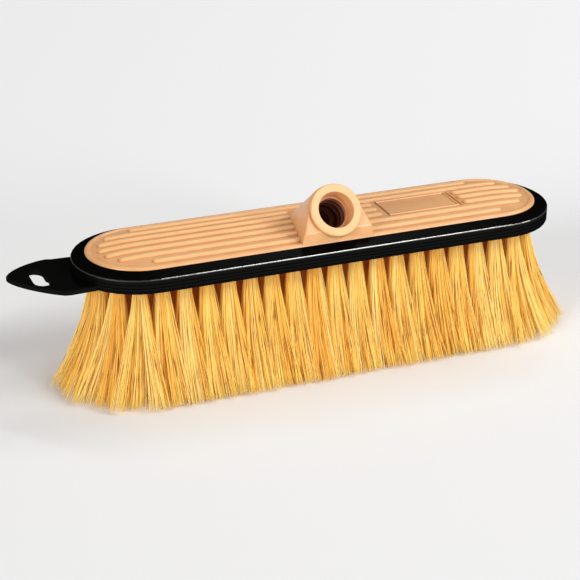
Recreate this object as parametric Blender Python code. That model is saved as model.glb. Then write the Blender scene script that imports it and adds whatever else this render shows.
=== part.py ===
"""Water-fed wash brush: a ribbed moulded block with a threaded handle socket, a soft bumper
with a hanging tab stretched round it, and rows of splayed bristle tufts in its underside.

Frame: +Z up, the bristle tips on the ground at Z = 0, the brush's length along X and the
socket opening towards -Y. Units are metres.
"""

import math

import bmesh
import bpy
from mathutils import Matrix, Vector

# Driving sizes of the whole brush
STRAIGHT_RUN = 0.189  # straight length between the two round ends
TRIM_HEIGHT = 0.058  # bristle tips to the bumper's underside
CLEARANCE = 0.0003  # gap between pieces that seat on each other
OVERRUN = 0.003  # how far a cutter runs past the face that it opens

# Block, seen from the side
BLOCK_RADIUS = 0.0275  # half of the block's width, and the radius of its round ends
BLOCK_LIFT = 0.0006  # block's underside above the bumper's underside
BLOCK_EDGE_HEIGHT = 0.0098  # top of the block's upright side above the bumper's underside
BLOCK_FLOOR_HEIGHT = 0.0109  # sunk top face just inside the rim
BLOCK_CROWN = 0.0015  # how much the sunk face rises towards the middle
CROWN_STEPS = 4
CROWN_END_SHARE = 0.02  # of a step, left flat along the middle
TONGUE_REACH = 0.0026  # side tongue that the bumper snaps over
TONGUE_LOW = 0.0027
TONGUE_HIGH = 0.0063
RIM_WIDTH = 0.0035
RIM_RISE = 0.0005  # rim's crest above the floor
# Rounded rim from the upright side inwards, as shares of the rim's width and height
RIM_SHARES = ((0.00, 0.00), (0.06, 0.48), (0.25, 0.85), (0.52, 1.00), (0.84, 0.92), (1.00, 0.70))

# Ribs on the block's top
RIB_COUNT = 7
RIB_PITCH = 0.0069
RIB_WIDTH = 0.0064
RIB_HEIGHT = 0.0013
RIB_MARGIN = 0.0057  # from the block's side to the arc that the rib ends stop on
RIB_SHOULDER_SHARE = 0.33  # of a rib's width, where it meets that arc
RIB_SINK = 0.0006  # how far a rib's body reaches into the block
RIB_SIDE_STEPS = 5
RIB_END_ANGLES = (68.0, 34.0, 0.0)  # degrees
RIB_FALL_STEPS = 3  # stations where a rib follows the fall of the block's round ends

# Bare label panel between the middle ribs, to the right of the boss
PANEL_START = 0.0330
PANEL_END = 0.0795
PANEL_RIBS = 3  # how many of the middle ribs it interrupts
FRAME_START = 0.0365
FRAME_END = 0.0758
FRAME_MARGIN = 0.00095  # from the ribs beside it
FRAME_BAR_START = 0.0776
FRAME_LINE = 0.0010
FRAME_RISE = 0.0006

# Handle socket and the boss that holds it
SOCKET_TILT = math.radians(34.0)  # socket axis above the horizontal
SOCKET_FACE_Y = -0.0237
SOCKET_FACE_HEIGHT = 0.0258  # centre of the socket's face above the bumper's underside
RING_RADIUS = 0.0134
RING_PROUD = 0.0022  # ring's face in front of the boss
RING_CHAMFER = 0.0004
MOUTH_RADIUS = 0.0094  # plain entry that guides the handle
MOUTH_CHAMFER = 0.0004
MOUTH_DEPTH = 0.0085
BORE_RADIUS = 0.0078  # crests of the socket's thread
SOCKET_DEPTH = 0.0255
WATERWAY_RADIUS = 0.0040
WATERWAY_PAST_OUTLET = 0.0032
BOSS_FRONT_GAP = 0.0002  # boss front behind the block's side
BOSS_BASE_HALF_WIDTH = 0.0194
BOSS_CREASE_HALF_WIDTH = 0.0174
BOSS_CREASE_HEIGHT = 0.0169  # top of the boss's upright front above the bumper's underside
BOSS_FACE_RADIUS = 0.0130
BOSS_BACK_RADIUS = 0.0125
BOSS_BACK_Y = 0.0060
BOSS_SINK = 0.0010
ROUND_STEPS = 40

# Seal washer at the socket's bottom
WASHER_THICKNESS = 0.0022
WASHER_BORE_RADIUS = 0.0043
WASHER_EDGE = 0.0004

# Bumper
BUMPER_BAND = 0.0070  # thickness outside the block's side
BUMPER_WALL_HEIGHT = 0.0078
BUMPER_LIP_HEIGHT = 0.0097  # inner lip above the bumper's underside
BUMPER_EDGE_RADIUS = 0.0009
BUMPER_EDGE_STEPS = 3
GROOVE_HEIGHTS = (0.0016, 0.0033, 0.0050)
GROOVE_DEPTH = 0.0004
GROOVE_WIDTH = 0.0008
END_STEPS = 20  # facets round each end

# Hanging tab on the bumper's left end
TAB_REACH = 0.0327  # from the bumper's end to the tab's tip
TAB_TAPER = 0.0235  # length over which it widens from its tip
TAB_SHOULDER = 0.0140  # how much narrower the tab is than the bumper, on each side
TAB_NECK = 0.0010  # how much each side draws in again towards the bumper
TAB_NECK_SHARE = 1.3
TAB_TAPER_SHARE = 1.2  # fullness of the taper
TAB_NOSE_SHARE = 0.66  # roundness of the tip
TAB_THICKNESS = 0.0030
TAB_DROP = 0.00045  # tab's flat root below the bumper's underside
TAB_BEND_REACH = 0.0060  # from the bumper's end to where it starts to rise
TAB_RISE = 0.0030  # how much higher the tip lies than the root
TAB_EDGE = 0.0006
TAB_OVERLAP = 0.0030  # how far the tab reaches into the bumper's wall
TAB_STEPS = 10
TAB_NECK_STEPS = 4
TAB_ROOT_STEPS = 9
SLOT_LENGTH = 0.0214
SLOT_WIDTH = 0.0076
SLOT_REACH = 0.0178  # from the bumper's end to the middle of the slot
SLOT_OFFSET = 0.0031  # towards the near side
SLOT_STEP = 0.0009  # how much wider the near half is, towards the bumper
SLOT_STEPS = 6

# Tufts
TUFT_PITCH = 0.01135
LAST_STRAIGHT_ROW = 8
END_ROW = LAST_STRAIGHT_ROW + 2
TUFT_ROOT_RADIUS = 0.0018
TUFT_TIP_RADIUS = 0.0046
STRAND_ROOT_RADIUS = 0.0009
STRAND_TIP_RADIUS = 0.0007
STRAND_SIDES = 3
EDGE_TUFT_STRANDS = 5
INNER_TUFT_STRANDS = 4
STRAND_SINK = 0.0008  # strand roots inside their backing
FLARE = 0.0160  # how far the outermost bristles splay at their tips
FLARE_POWER_SHARE = 2.0
TUFT_TURN = math.radians(37.0)  # each tuft is turned by this much more than the last
ROW_TURN = math.radians(259.0)  # and each row by this much more than the last

# Backing slices that hold the tufts, and their recess in the block's underside
BACKING_WALL = 0.0021  # block's wall round the slices
BACKING_THICKNESS = 0.0025
BACKING_END_STEPS = 5
EDGE_TUFT_MARGIN = 0.0029  # from the slices' edge to the middle of the outermost tufts
OUTLET_LAND_RADIUS = 0.0052  # solid round the water outlet
OUTLET_LAND_GAP = 0.0008  # from there to the backing of the middle row

# Sizes worked out from those above
SPINE = STRAIGHT_RUN / 2
BUMPER_RADIUS = BLOCK_RADIUS + BUMPER_BAND
TAB_TIP_X = SPINE + BUMPER_RADIUS + TAB_REACH
TAB_HALF_WIDTH = BUMPER_RADIUS - TAB_SHOULDER
TAB_BEND_X = SPINE + BUMPER_RADIUS + TAB_BEND_REACH
SLOT_X = SPINE + BUMPER_RADIUS + SLOT_REACH
RIB_END_RADIUS = BLOCK_RADIUS - RIB_MARGIN
FRAME_WIDTH = PANEL_RIBS * RIB_PITCH - 2 * FRAME_MARGIN
BACKING_RADIUS = BLOCK_RADIUS - BACKING_WALL
TUFT_EDGE_RADIUS = BACKING_RADIUS - EDGE_TUFT_MARGIN  # outermost tufts, from the spine
MIDDLE_TUFT_Y = TUFT_EDGE_RADIUS / 2  # the inner pair of a five-tuft row
INNER_TUFT_Y = TUFT_EDGE_RADIUS / 3  # the inner pair of a four-tuft row
OUTLET_GAP_Y = OUTLET_LAND_RADIUS + OUTLET_LAND_GAP
BLOCK_BOTTOM_Z = TRIM_HEIGHT + BLOCK_LIFT
BLOCK_EDGE_Z = TRIM_HEIGHT + BLOCK_EDGE_HEIGHT
BLOCK_FLOOR_Z = TRIM_HEIGHT + BLOCK_FLOOR_HEIGHT
RIM_TOP_Z = BLOCK_FLOOR_Z + RIM_RISE
RECESS_TOP_Z = BLOCK_BOTTOM_Z + BACKING_THICKNESS + CLEARANCE
SOCKET_AXIS = Vector((0.0, -math.cos(SOCKET_TILT), math.sin(SOCKET_TILT)))
SOCKET_FACE = Vector((0.0, SOCKET_FACE_Y, TRIM_HEIGHT + SOCKET_FACE_HEIGHT))


def material(name, colour, roughness):
    """A plain Principled material."""
    made = bpy.data.materials.new(name)
    made.use_nodes = True
    shader = made.node_tree.nodes["Principled BSDF"]
    shader.inputs["Base Color"].default_value = (*colour, 1.0)
    shader.inputs["Roughness"].default_value = roughness
    shader.inputs["Metallic"].default_value = 0.0
    return made


def object_from(bm, name, surface=None, sharp_angle=math.radians(35.0)):
    """Makes an object of a closed bmesh, facing out and shaded smooth."""
    bmesh.ops.recalc_face_normals(bm, faces=bm.faces)
    mesh = bpy.data.meshes.new(name)
    bm.to_mesh(mesh)
    bm.free()
    mesh.shade_smooth()
    mesh.set_sharp_from_angle(angle=sharp_angle)
    if surface:
        mesh.materials.append(surface)
    made = bpy.data.objects.new(name, mesh)
    bpy.context.scene.collection.objects.link(made)
    return made


def helper_from(bm, name):
    """Makes a shape that only takes part in a Boolean."""
    made = object_from(bm, name)
    made.hide_render = True
    made.display_type = "WIRE"
    return made


def combine(target, operation, other):
    """Adds an exact Boolean to the target."""
    modifier = target.modifiers.new(f"{operation.lower()}_{other.name}", "BOOLEAN")
    modifier.operation = operation
    modifier.solver = "EXACT"
    modifier.object = other


def stadium_stations(steps):
    """(end centre, outward direction) round the outline, anticlockwise from the near right."""
    stations = []
    for side in (1, -1):
        centre = Vector((side * SPINE, 0.0, 0.0))
        for step in range(steps + 1):
            angle = math.pi * (step / steps - side / 2)
            stations.append((centre, Vector((math.cos(angle), math.sin(angle), 0.0))))
    return stations


def stadium_outline(radius, steps):
    """Corner points of a straight-sided outline with round ends."""
    return [centre + radius * outward for centre, outward in stadium_stations(steps)]


def ring_of(bm, points):
    return [bm.verts.new(point) for point in points]


def bridge(bm, low, high):
    """Faces between two rings of equal length."""
    for i in range(len(low)):
        j = (i + 1) % len(low)
        bm.faces.new((low[i], low[j], high[j], high[i]))


def loft(sections):
    """A closed solid through rings of equal length, with flat ends."""
    bm = bmesh.new()
    rings = [ring_of(bm, section) for section in sections]
    for low, high in zip(rings, rings[1:]):
        bridge(bm, low, high)
    bm.faces.new(list(reversed(rings[0])))
    bm.faces.new(rings[-1])
    return bm


def prism(outline, low_z, high_z):
    """A straight solid on an outline."""
    return loft([[Vector((p[0], p[1], z)) for p in outline] for z in (low_z, high_z)])


def turned(profile, steps, place):
    """A solid turned about its own Z axis from (radius, z) points, set in place by a matrix."""
    bm = bmesh.new()
    chain = ring_of(bm, [Vector((radius, 0.0, z)) for radius, z in profile])
    closed = profile[0][0] > 0
    pairs = list(zip(chain, chain[1:])) + ([(chain[-1], chain[0])] if closed else [])
    edges = [bm.edges.new(pair) for pair in pairs]
    bmesh.ops.spin(
        bm,
        geom=chain + edges,
        cent=(0, 0, 0),
        axis=(0, 0, 1),
        angle=math.tau,
        steps=steps,
        use_merge=True,
    )
    smallest = min(radius for radius, _ in profile if radius > 0)
    bmesh.ops.remove_doubles(bm, verts=bm.verts, dist=smallest / 1000)
    bm.transform(place)
    return bm


def join(parts):
    """One bmesh that holds several separate closed shapes."""
    whole = bmesh.new()
    for part in parts:
        mesh = bpy.data.meshes.new("joined")
        part.to_mesh(mesh)
        part.free()
        whole.from_mesh(mesh)
        bpy.data.meshes.remove(mesh)
    return whole


def socket_matrix():
    """Puts a turned shape's Z axis on the socket's axis, its origin at the socket's face."""
    turn = Vector((0.0, 0.0, 1.0)).rotation_difference(SOCKET_AXIS)
    return Matrix.Translation(SOCKET_FACE) @ turn.to_matrix().to_4x4()


# Block

def floor_height(distance):
    """Height of the block's crowned top face at a distance from the spine."""
    edge = BLOCK_RADIUS - RIM_WIDTH
    return BLOCK_FLOOR_Z + BLOCK_CROWN * (1 - min(distance / edge, 1.0) ** 2)


def distance_from_spine(x, y):
    return math.hypot(max(abs(x) - SPINE, 0.0), y)


def block_profile():
    """(distance from the spine, z) up the block's side and over its rim."""
    tongue = BLOCK_RADIUS + TONGUE_REACH
    points = [
        (BLOCK_RADIUS, BLOCK_BOTTOM_Z),
        (BLOCK_RADIUS, TRIM_HEIGHT + TONGUE_LOW),
        (tongue, TRIM_HEIGHT + TONGUE_LOW),
        (tongue, TRIM_HEIGHT + TONGUE_HIGH),
        (BLOCK_RADIUS, TRIM_HEIGHT + TONGUE_HIGH),
    ]
    rise = RIM_TOP_Z - BLOCK_EDGE_Z
    for inwards, upwards in RIM_SHARES:
        points.append((BLOCK_RADIUS - inwards * RIM_WIDTH, BLOCK_EDGE_Z + upwards * rise))
    return points


def rib_half_length(y):
    """Ribs end on an arc inside the block's round end."""
    shoulder = abs(y) + RIB_SHOULDER_SHARE * RIB_WIDTH
    return SPINE + math.sqrt(max(RIB_END_RADIUS**2 - shoulder**2, 0.0))


def rib_shape(start, end, y):
    """One half-round rib with rounded ends, along X, lying on the crowned face."""
    half = RIB_WIDTH / 2
    middle = []
    for side in (-1, 1):
        for step in range(RIB_FALL_STEPS):
            x = side * (SPINE + (rib_half_length(y) - half - SPINE) * step / RIB_FALL_STEPS)
            if start + half < x < end - half:
                middle.append((x, 0.0))
    stations = [(start + half * (1 - math.sin(math.radians(a))), a) for a in RIB_END_ANGLES]
    stations += sorted(middle)
    stations += [(start + end - x, a) for x, a in reversed(stations[: len(RIB_END_ANGLES)])]
    sections = []
    for x, angle in stations:
        size = math.cos(math.radians(angle))
        floor = floor_height(distance_from_spine(x, y))
        section = [Vector((x, y - half * size, floor - RIB_SINK))]
        for step in range(RIB_SIDE_STEPS + 1):
            turn = math.pi * step / RIB_SIDE_STEPS
            across = y - half * size * math.cos(turn)
            section.append(Vector((x, across, floor + RIB_HEIGHT * size * math.sin(turn))))
        section.append(Vector((x, y + half * size, floor - RIB_SINK)))
        sections.append(section)
    return loft(sections)


def rib_shapes():
    shapes = []
    for index in range(RIB_COUNT):
        place = index - (RIB_COUNT - 1) / 2
        y = place * RIB_PITCH
        reach = rib_half_length(y)
        if abs(place) <= (PANEL_RIBS - 1) / 2:
            shapes.append(rib_shape(-reach, PANEL_START, y))
            shapes.append(rib_shape(PANEL_END, reach, y))
        else:
            shapes.append(rib_shape(-reach, reach, y))
    return shapes


def frame_corners(start, end, half):
    """Points round the panel, with steps on its two cross sides for the crown."""
    steps = range(-CROWN_STEPS, CROWN_STEPS + 1)
    up = [(end, half * step / CROWN_STEPS) for step in steps]
    down = [(start, half * step / CROWN_STEPS) for step in reversed(steps)]
    return up + down


def panel_frame_shapes():
    """The raised line round the bare label panel, and the bar beside it."""
    half = FRAME_WIDTH / 2
    outer = frame_corners(FRAME_START, FRAME_END, half)
    inner = frame_corners(FRAME_START + FRAME_LINE, FRAME_END - FRAME_LINE, half - FRAME_LINE)
    bar = frame_corners(FRAME_BAR_START, FRAME_BAR_START + FRAME_LINE, half)
    bm = bmesh.new()
    loops = []
    section = (
        (outer, -RIB_SINK),
        (outer, FRAME_RISE),
        (inner, FRAME_RISE),
        (inner, -RIB_SINK),
    )
    for points, rise in section:
        loop = [Vector((x, y, floor_height(abs(y)) + rise)) for x, y in points]
        loops.append(ring_of(bm, loop))
    for first, second in zip(loops, loops[1:] + loops[:1]):
        bridge(bm, first, second)
    levels = [
        [Vector((x, y, floor_height(abs(y)) + rise)) for x, y in bar]
        for rise in (-RIB_SINK, FRAME_RISE)
    ]
    return [bm, loft(levels)]


def boss_shape():
    """The drafted boss: the hull of its footprint on the block and of its sloping face."""
    front_y = -(BLOCK_RADIUS - BOSS_FRONT_GAP)
    base_z = BLOCK_EDGE_Z - BOSS_SINK
    bm = bmesh.new()
    for side in (1, -1):
        bm.verts.new((side * BOSS_BASE_HALF_WIDTH, front_y, base_z))
    face_centre = SOCKET_FACE - RING_PROUD * SOCKET_AXIS
    up_slope = Vector((0.0, math.sin(SOCKET_TILT), math.cos(SOCKET_TILT)))
    drop = (face_centre.z - TRIM_HEIGHT - BOSS_CREASE_HEIGHT) / up_slope.z
    crease = face_centre - drop * up_slope
    for side in (1, -1):
        bm.verts.new((side * BOSS_CREASE_HALF_WIDTH, max(crease.y, front_y), crease.z))
    for step in range(ROUND_STEPS):
        angle = math.tau * step / ROUND_STEPS
        sideways = Vector((math.cos(angle), 0.0, 0.0))
        bm.verts.new(face_centre + BOSS_FACE_RADIUS * (sideways + math.sin(angle) * up_slope))
        around = Vector((math.cos(angle), math.sin(angle), 0.0))
        bm.verts.new(Vector((0.0, BOSS_BACK_Y, base_z)) + BOSS_BACK_RADIUS * around)
    hull = bmesh.ops.convex_hull(bm, input=bm.verts)
    loose = {item for item in hull["geom_interior"] if isinstance(item, bmesh.types.BMVert)}
    bmesh.ops.delete(bm, geom=list(loose), context="VERTS")
    bmesh.ops.dissolve_limit(
        bm, angle_limit=math.radians(1.0), verts=bm.verts, edges=bm.edges
    )
    return bm


def ring_shape():
    """The round collar that stands proud of the boss."""
    depth = RING_PROUD + OVERRUN
    profile = [
        (0.0, 0.0),
        (RING_RADIUS - RING_CHAMFER, 0.0),
        (RING_RADIUS, -RING_CHAMFER),
        (RING_RADIUS, -depth),
        (0.0, -depth),
    ]
    return turned(profile, ROUND_STEPS, socket_matrix())


def socket_shape():
    """Everything that is bored along the socket's axis: entry, threaded length and waterway."""
    end = -SOCKET_FACE_Y / math.cos(SOCKET_TILT) + WATERWAY_PAST_OUTLET
    profile = [
        (0.0, OVERRUN),
        (MOUTH_RADIUS + MOUTH_CHAMFER, OVERRUN),
        (MOUTH_RADIUS + MOUTH_CHAMFER, 0.0),
        (MOUTH_RADIUS, -MOUTH_CHAMFER),
        (MOUTH_RADIUS, -MOUTH_DEPTH),
        (BORE_RADIUS, -MOUTH_DEPTH),
        (BORE_RADIUS, -SOCKET_DEPTH),
        (WATERWAY_RADIUS, -SOCKET_DEPTH),
        (WATERWAY_RADIUS, -end),
        (0.0, -end),
    ]
    return turned(profile, ROUND_STEPS, socket_matrix())


def outlet_shape():
    """The upright water outlet, from the block's underside to the waterway."""
    top = SOCKET_FACE.z + SOCKET_FACE_Y * math.tan(SOCKET_TILT)
    low = BLOCK_BOTTOM_Z - OVERRUN
    profile = [(0.0, top), (WATERWAY_RADIUS, top), (WATERWAY_RADIUS, low), (0.0, low)]
    return turned(profile, ROUND_STEPS // 2, Matrix.Identity(4))


def outlet_land_shape():
    """The round land of the block's underside that the outlet opens in."""
    top = RECESS_TOP_Z + STRAND_SINK
    profile = [
        (0.0, top),
        (OUTLET_LAND_RADIUS, top),
        (OUTLET_LAND_RADIUS, BLOCK_BOTTOM_Z),
        (0.0, BLOCK_BOTTOM_Z),
    ]
    return turned(profile, ROUND_STEPS // 2, Matrix.Identity(4))


def make_block(surface):
    sections = []
    for radius, z in block_profile():
        outline = stadium_outline(radius, END_STEPS)
        sections.append([Vector((p.x, p.y, z)) for p in outline])
    edge = BLOCK_RADIUS - RIM_WIDTH
    for step in range(1, CROWN_STEPS + 1):
        radius = edge * math.sqrt(1 - step / (CROWN_STEPS + CROWN_END_SHARE))
        outline = stadium_outline(radius, END_STEPS)
        sections.append([Vector((p.x, p.y, floor_height(radius))) for p in outline])
    block = object_from(loft(sections), "block", surface)
    recess = stadium_outline(BACKING_RADIUS + CLEARANCE, END_STEPS)
    recess_cutter = helper_from(prism(recess, BLOCK_BOTTOM_Z - OVERRUN, RECESS_TOP_Z), "recess")
    raised = helper_from(join(rib_shapes() + panel_frame_shapes()), "raised_top")
    combine(block, "DIFFERENCE", recess_cutter)
    combine(block, "UNION", helper_from(outlet_land_shape(), "outlet_land"))
    combine(block, "UNION", raised)
    combine(block, "UNION", helper_from(boss_shape(), "boss"))
    combine(block, "UNION", helper_from(ring_shape(), "collar"))
    combine(block, "DIFFERENCE", helper_from(socket_shape(), "socket_bore"))
    combine(block, "DIFFERENCE", helper_from(outlet_shape(), "outlet_bore"))
    return block


# Seal washer

def make_washer(surface):
    outer = BORE_RADIUS - CLEARANCE
    low = -SOCKET_DEPTH + CLEARANCE
    high = low + WASHER_THICKNESS
    profile = [
        (WASHER_BORE_RADIUS, high - WASHER_EDGE),
        (WASHER_BORE_RADIUS + WASHER_EDGE, high),
        (outer - WASHER_EDGE, high),
        (outer, high - WASHER_EDGE),
        (outer, low + WASHER_EDGE),
        (outer - WASHER_EDGE, low),
        (WASHER_BORE_RADIUS + WASHER_EDGE, low),
        (WASHER_BORE_RADIUS, low + WASHER_EDGE),
    ]
    return object_from(turned(profile, ROUND_STEPS, socket_matrix()), "seal_washer", surface)


# Bumper

def rounded_corner(centre_r, centre_z, radius, start, end, steps):
    """Arc points, from one angle to another in degrees."""
    points = []
    for step in range(steps + 1):
        angle = math.radians(start + (end - start) * step / steps)
        points.append((centre_r + radius * math.cos(angle), centre_z + radius * math.sin(angle)))
    return points


def bumper_profile():
    """(distance from the spine, z) round the bumper's section, from its lip's inner corner."""
    inner = BLOCK_RADIUS + CLEARANCE
    wall_top = TRIM_HEIGHT + BUMPER_WALL_HEIGHT
    edge = BUMPER_EDGE_RADIUS
    points = [(inner, TRIM_HEIGHT + BUMPER_LIP_HEIGHT)]
    corner_r = BUMPER_RADIUS - edge
    points += rounded_corner(corner_r, wall_top - edge, edge, 72, 0, BUMPER_EDGE_STEPS)
    for height in reversed(GROOVE_HEIGHTS):
        z = TRIM_HEIGHT + height
        floor = BUMPER_RADIUS - GROOVE_DEPTH
        points += [(BUMPER_RADIUS, z + GROOVE_WIDTH / 2), (floor, z + GROOVE_WIDTH / 4)]
        points += [(floor, z - GROOVE_WIDTH / 4), (BUMPER_RADIUS, z - GROOVE_WIDTH / 2)]
    low_corner_z = TRIM_HEIGHT + edge
    points += rounded_corner(corner_r, low_corner_z, edge, 0, -90, BUMPER_EDGE_STEPS - 1)
    slot = inner + TONGUE_REACH
    points += [
        (inner, TRIM_HEIGHT),
        (inner, TRIM_HEIGHT + TONGUE_LOW - CLEARANCE),
        (slot, TRIM_HEIGHT + TONGUE_LOW - CLEARANCE),
        (slot, TRIM_HEIGHT + TONGUE_HIGH + CLEARANCE),
        (inner, TRIM_HEIGHT + TONGUE_HIGH + CLEARANCE),
    ]
    return points


def tab_half_width(distance):
    """Half-width of the tab at a distance from its tip."""
    left = 1 - min(distance / TAB_TAPER, 1.0)
    return TAB_HALF_WIDTH * (1 - left**TAB_TAPER_SHARE) ** TAB_NOSE_SHARE


def tab_outline():
    """Corner points of the tab, with its tip at the left and a round root in the bumper's wall."""
    root = BUMPER_RADIUS - TAB_OVERLAP
    reach = math.asin((TAB_HALF_WIDTH - TAB_NECK) / root)
    neck_start = TAB_TAPER - TAB_TIP_X
    neck_end = -SPINE - root * math.cos(reach)
    far_side = []
    for step in range(TAB_NECK_STEPS - 1, 0, -1):
        share = step / TAB_NECK_STEPS
        half_width = TAB_HALF_WIDTH - TAB_NECK * share**TAB_NECK_SHARE
        far_side.append((neck_start + (neck_end - neck_start) * share, half_width))
    for step in range(TAB_STEPS):
        # Stations close up towards the tip, where the outline turns quickest
        distance = TAB_TAPER * (1 - step / TAB_STEPS) ** 2
        far_side.append((distance - TAB_TIP_X, tab_half_width(distance)))
    near_side = [(x, -y) for x, y in reversed(far_side)]
    arc = []
    for step in range(TAB_ROOT_STEPS + 1):
        angle = reach * (2 * step / TAB_ROOT_STEPS - 1)
        arc.append((-SPINE - root * math.cos(angle), root * math.sin(angle)))
    return far_side + [(-TAB_TIP_X, 0.0)] + near_side + arc


def tab_rise(x):
    """How much higher the tab lies at x than at its flat root."""
    return TAB_RISE * max(-x - TAB_BEND_X, 0.0) / (TAB_TIP_X - TAB_BEND_X)


def inset_outline(points, amount):
    """Moves each point of a closed outline inwards, square to its two neighbours."""
    moved = []
    for i, (x, y) in enumerate(points):
        before = points[i - 1]
        after = points[(i + 1) % len(points)]
        along = Vector((after[0] - before[0], after[1] - before[1])).normalized()
        moved.append((x - amount * along.y, y + amount * along.x))
    return moved


def tab_shape():
    """The tab, drawn flat, cut across at its bend and then raised beyond it."""
    outline = tab_outline()
    inner = inset_outline(outline, TAB_EDGE)
    base = TRIM_HEIGHT - TAB_DROP
    levels = (
        (inner, base),
        (outline, base + TAB_EDGE),
        (outline, base + TAB_THICKNESS - TAB_EDGE),
        (inner, base + TAB_THICKNESS),
    )
    bm = loft([[Vector((x, y, z)) for x, y in points] for points, z in levels])
    bmesh.ops.bisect_plane(
        bm,
        geom=bm.verts[:] + bm.edges[:] + bm.faces[:],
        plane_co=(-TAB_BEND_X, 0.0, 0.0),
        plane_no=(1.0, 0.0, 0.0),
    )
    for vert in bm.verts:
        vert.co.z += tab_rise(vert.co.x)
    return bm


def slot_shape():
    """The crosswise hanging slot, right through the tab, stepped on the bumper's side."""
    radius = SLOT_WIDTH / 2
    straight = SLOT_LENGTH / 2 - radius
    outline = []
    for side in (1, -1):
        for step in range(SLOT_STEPS + 1):
            angle = math.pi * (step / SLOT_STEPS + (side < 0))
            along = radius * math.cos(angle)
            if side < 0 and along > 0:
                along *= 1 + SLOT_STEP / radius
            across = side * straight + radius * math.sin(angle)
            outline.append((along - SLOT_X, across - SLOT_OFFSET))
    outline.append((radius + SLOT_STEP - SLOT_X, -SLOT_OFFSET))
    outline.append((radius - SLOT_X, SLOT_STEP - SLOT_OFFSET))
    low = TRIM_HEIGHT - OVERRUN
    return prism(outline, low, TRIM_HEIGHT + TAB_THICKNESS + TAB_RISE + OVERRUN)


def make_bumper(surface):
    bm = bmesh.new()
    profile = bumper_profile()
    rings = []
    for centre, outward in stadium_stations(END_STEPS):
        points = [centre + radius * outward + Vector((0.0, 0.0, z)) for radius, z in profile]
        rings.append(ring_of(bm, points))
    for first, second in zip(rings, rings[1:] + rings[:1]):
        bridge(bm, first, second)
    bumper = object_from(bm, "bumper", surface)
    combine(bumper, "UNION", helper_from(tab_shape(), "tab"))
    combine(bumper, "DIFFERENCE", helper_from(slot_shape(), "hang_slot"))
    return bumper


# Bristles

def edge_tuft_angles():
    """Places round an end, as angles from the crosswise direction, at about the tuft pitch."""
    along = SPINE - LAST_STRAIGHT_ROW * TUFT_PITCH
    length = math.pi * TUFT_EDGE_RADIUS + 2 * along
    count = round(length / TUFT_PITCH)
    return [(length * k / count - along) / TUFT_EDGE_RADIUS for k in range(1, count)]


def row_tufts(row):
    """(x, y, strands) of each tuft in a crosswise row, numbered from the middle."""
    side = 1 if row > 0 else -1
    number = abs(row)
    if number <= LAST_STRAIGHT_ROW:
        x = row * TUFT_PITCH
        places = [(x, y, EDGE_TUFT_STRANDS) for y in (-TUFT_EDGE_RADIUS, TUFT_EDGE_RADIUS)]
        if number % 2:
            inner = (-INNER_TUFT_Y, INNER_TUFT_Y)
        elif number:
            inner = (-MIDDLE_TUFT_Y, 0.0, MIDDLE_TUFT_Y)
        else:
            inner = (-MIDDLE_TUFT_Y, MIDDLE_TUFT_Y)
        return places + [(x, y, INNER_TUFT_STRANDS) for y in inner]
    split = (LAST_STRAIGHT_ROW + 1.5) * TUFT_PITCH
    places = []
    for angle in edge_tuft_angles():
        x = SPINE + TUFT_EDGE_RADIUS * math.sin(angle)
        y = -TUFT_EDGE_RADIUS * math.cos(angle)
        if (x > split) == (number == END_ROW):
            places.append((side * x, y, EDGE_TUFT_STRANDS))
    if number < END_ROW:
        x = row * TUFT_PITCH
        places += [(x, y, INNER_TUFT_STRANDS) for y in (-INNER_TUFT_Y, INNER_TUFT_Y)]
    return places


def splayed(x, y):
    """Where the tip of a bristle stands, if it would end at x, y without any splay."""
    spine_x = max(-SPINE, min(SPINE, x))
    away = Vector((x - spine_x, y))
    distance = away.length
    if distance == 0:
        return Vector((x, y))
    extra = FLARE * (distance / BACKING_RADIUS) ** FLARE_POWER_SHARE
    return Vector((spine_x, 0.0)) + away * ((distance + extra) / distance)


def strand_shape(x, y, angle):
    """One straight strand, from its root inside the backing to its flat tip on the ground."""
    towards = Vector((math.cos(angle), math.sin(angle)))
    tip = Vector((x, y)) + TUFT_TIP_RADIUS * towards
    ends = (
        (Vector((x, y)) + TUFT_ROOT_RADIUS * towards, BLOCK_BOTTOM_Z + STRAND_SINK, STRAND_ROOT_RADIUS),
        (splayed(tip.x, tip.y), 0.0, STRAND_TIP_RADIUS),
    )
    sections = []
    for place, z, radius in ends:
        section = []
        for corner in range(STRAND_SIDES):
            turn = angle + math.tau * corner / STRAND_SIDES
            around = Vector((math.cos(turn), math.sin(turn)))
            section.append((place + radius * around).to_3d() + Vector((0.0, 0.0, z)))
        sections.append(section)
    return loft(sections)


def backing_outline(row, low_y, high_y):
    """A crosswise slice of the round-ended tuft field, between two y limits."""
    half_gap = CLEARANCE / 2
    if abs(row) == END_ROW:
        start = (END_ROW - 0.5) * TUFT_PITCH + half_gap
        first = math.acos((start - SPINE) / BACKING_RADIUS)
        outline = []
        for step in range(2 * BACKING_END_STEPS + 1):
            angle = first * (step / BACKING_END_STEPS - 1)
            outline.append(
                (SPINE + BACKING_RADIUS * math.cos(angle), BACKING_RADIUS * math.sin(angle))
            )
        side = 1 if row > 0 else -1
        return [(side * x, y) for x, y in outline]
    ends = [row * TUFT_PITCH + side * (TUFT_PITCH / 2 - half_gap) for side in (-1, 1)]

    def edge(x):
        beyond = max(abs(x) - SPINE, 0.0)
        return math.sqrt(BACKING_RADIUS**2 - beyond**2)

    steps = BACKING_END_STEPS if abs(row) > LAST_STRAIGHT_ROW - 1 else 1
    xs = [ends[0] + (ends[1] - ends[0]) * step / steps for step in range(steps + 1)]
    low_side = [(x, max(low_y, -edge(x))) for x in xs]
    high_side = [(x, min(high_y, edge(x))) for x in reversed(xs)]
    return low_side + high_side


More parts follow.
